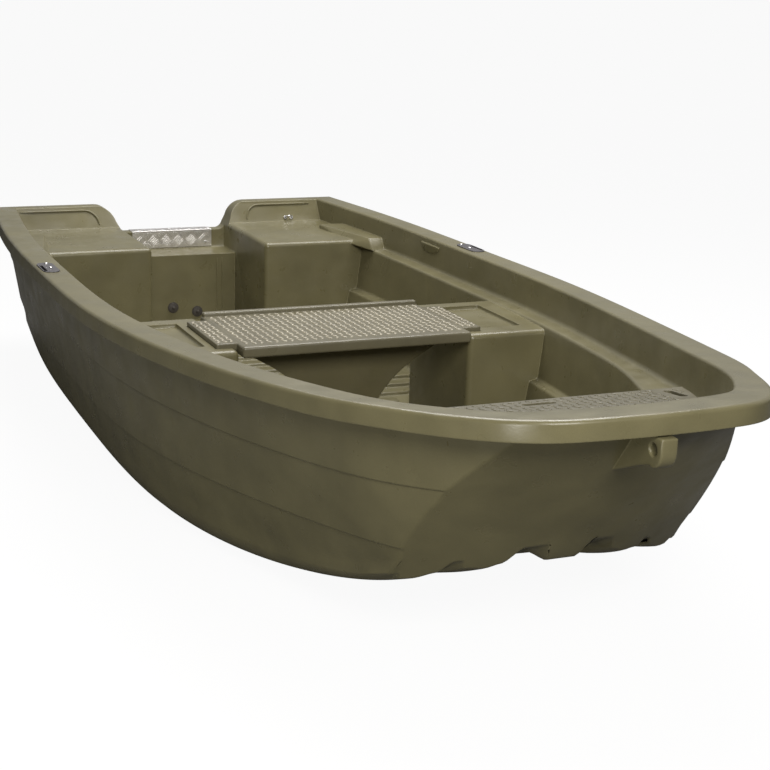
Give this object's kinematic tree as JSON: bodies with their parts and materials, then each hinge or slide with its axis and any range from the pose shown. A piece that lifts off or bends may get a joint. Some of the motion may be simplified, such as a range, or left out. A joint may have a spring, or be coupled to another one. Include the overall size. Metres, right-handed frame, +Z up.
{
  "type": "rowing boat",
  "caption": "Double-skinned moulded rowing boat: raked bow, ribbed floor, lift-out thwart and bow seat, rowlock plates, stern cut-out with tread plate, drains and a towing lug.",
  "frame": {"origin": "on the ground, under the middle of the boat's length and width", "axes": "+X to the bow, +Y to port, +Z up"},
  "size_m": [3.5593, 1.5128, 0.6647],
  "materials": {
    "olive_polyethylene": "semi-gloss moulded olive green polyethylene",
    "olive_board": "semi-gloss olive polyethylene with a moulded tread pattern",
    "tread_aluminium": "bright aluminium tread plate",
    "stainless_steel": "plain stainless steel",
    "socket_metal": "dull grey metal",
    "black_plastic": "black moulded plastic",
    "white_foam": null,
    "core_board": "plywood stiffener"
  },
  "bodies": {
    "hull": {"outer_hull": "olive_polyethylene", "inner_liner": "olive_polyethylene", "thwart_support": "olive_polyethylene", "transom_core": "core_board", "tread_plate": "tread_aluminium", "tread_plate_screw_1": "stainless_steel", "tread_plate_screw_2": "stainless_steel", "rowlock_socket_port": "socket_metal", "rowlock_socket_starboard": "socket_metal", "rowlock_screw_port_aft": "stainless_steel", "rowlock_screw_port_fore": "stainless_steel", "rowlock_screw_starboard_aft": "stainless_steel", "rowlock_screw_starboard_fore": "stainless_steel", "mooring_eye": "stainless_steel", "drain_tube_upper": "black_plastic", "drain_tube_lower": "black_plastic", "drain_nut_upper": "black_plastic", "drain_nut_lower": "black_plastic", "stern_foam_port": "white_foam", "stern_foam_starboard": "white_foam", "mid_foam_port": "white_foam", "mid_foam_starboard": "white_foam"},
    "thwart": {"mid_thwart": "olive_board"},
    "seat": {"bow_seat": "olive_board"},
    "plug_upper": {"drain_plug_upper": "black_plastic"},
    "plug_lower": {"drain_plug_lower": "black_plastic"}
  },
  "joints": [
    {"name": "thwart_lift", "type": "slide", "parent": "hull", "child": "thwart", "axis": [0, 0, 1], "range_m": [0, 0.3]},
    {"name": "bow_seat_lift", "type": "slide", "parent": "hull", "child": "seat", "axis": [0, 0, 1], "range_m": [0, 0.3]},
    {"name": "plug_upper_pull", "type": "slide", "parent": "hull", "child": "plug_upper", "axis": [1, 0, 0], "range_m": [0, 0.05]},
    {"name": "plug_lower_pull", "type": "slide", "parent": "hull", "child": "plug_lower", "axis": [1, 0, 0], "range_m": [0, 0.05]}
  ]
}
